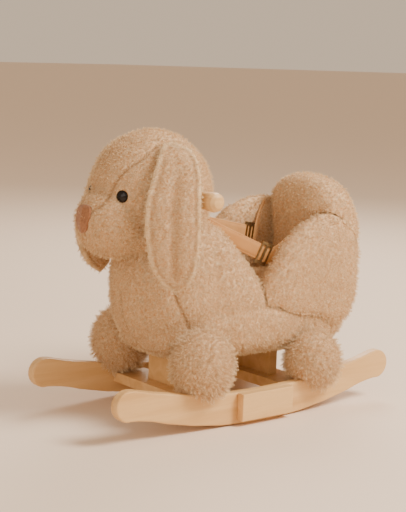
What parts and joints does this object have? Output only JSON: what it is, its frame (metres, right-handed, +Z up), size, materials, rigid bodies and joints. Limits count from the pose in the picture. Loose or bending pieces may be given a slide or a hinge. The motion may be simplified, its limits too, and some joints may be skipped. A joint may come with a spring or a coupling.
{
  "type": "plush bunny rocker",
  "caption": "Plush ride-on rocker shaped as a lop-eared bunny with a padded bucket seat, a dowel handle and a safety strap, on two curved wooden rockers.",
  "frame": {"origin": "on the floor, midway along the rockers, on the centre plane", "axes": "+X forward, towards the head and along the rockers; +Y to the bunny's left; +Z up"},
  "size_m": [0.6198, 0.344, 0.5029],
  "materials": {
    "plush": "short curly plush pile",
    "wood": "clear satin, pale birch",
    "plywood": "raw plywood",
    "strap": "tan webbing with pale edges",
    "bronze": "antique bronze, satin",
    "steel": "zinc plated",
    "eye": "glossy black",
    "washer": "moulded, natural",
    "suede": "brown suede cloth"
  },
  "bodies": {
    "frame": {"body": "plush", "back_cushion": "plush", "left_bolster": "plush", "right_bolster": "plush", "seat_pad": "plush", "front_left_paw": "plush", "front_right_paw": "plush", "rear_left_paw": "plush", "rear_right_paw": "plush", "head": "plush", "left_rocker": "wood", "right_rocker": "wood", "front_crossboard": "wood", "rear_crossboard": "wood", "side_plaque": "wood", "front_upright": "wood", "rear_upright": "wood", "handle_dowel": "wood", "dowel_front_left": "wood", "rocker_bolt_front_left": "steel", "barrel_nut_front_left": "steel", "front_upright_screw_left": "steel", "front_seat_screw_left": "steel", "dowel_front_right": "wood", "rocker_bolt_front_right": "steel", "barrel_nut_front_right": "steel", "front_upright_screw_right": "steel", "front_seat_screw_right": "steel", "dowel_rear_left": "wood", "rocker_bolt_rear_left": "steel", "barrel_nut_rear_left": "steel", "rear_upright_screw_left": "steel", "rear_seat_screw_left": "steel", "dowel_rear_right": "wood", "rocker_bolt_rear_right": "steel", "barrel_nut_rear_right": "steel", "rear_upright_screw_right": "steel", "rear_seat_screw_right": "steel", "back_board": "plywood", "neck_board": "plywood", "seat_board": "plywood", "back_board_screw_left": "steel", "back_board_screw_right": "steel", "neck_board_screw_front": "steel", "neck_board_screw_rear": "steel", "handle_screw": "steel", "nose": "suede", "left_eye": "eye", "left_eye_washer": "washer", "left_front_strap": "strap", "left_side_strap": "strap", "right_eye": "eye", "right_eye_washer": "washer", "right_front_strap": "strap", "right_side_strap": "strap"},
    "left_ear": {"left_ear": "plush"},
    "right_ear": {"right_ear": "plush"},
    "left_adjuster": {"left_adjuster": "bronze"},
    "right_adjuster": {"right_adjuster": "bronze"}
  },
  "joints": [
    {"name": "left_ear_swing", "type": "hinge", "parent": "frame", "child": "left_ear", "pos_m": [0.158, 0.06, 0.484], "axis": [0.9048, -0.4259, 0], "range_deg": [0, 75]},
    {"name": "right_ear_swing", "type": "hinge", "parent": "frame", "child": "right_ear", "pos_m": [0.158, -0.06, 0.484], "axis": [-0.9048, -0.4259, 0], "range_deg": [0, 75]},
    {"name": "left_adjuster_slide", "type": "slide", "parent": "frame", "child": "left_adjuster", "axis": [0.8685, -0.2634, 0.42], "range_m": [0, 0.03]},
    {"name": "right_adjuster_slide", "type": "slide", "parent": "frame", "child": "right_adjuster", "axis": [0.9563, 0.2007, 0.2125], "range_m": [0, 0.03]}
  ]
}
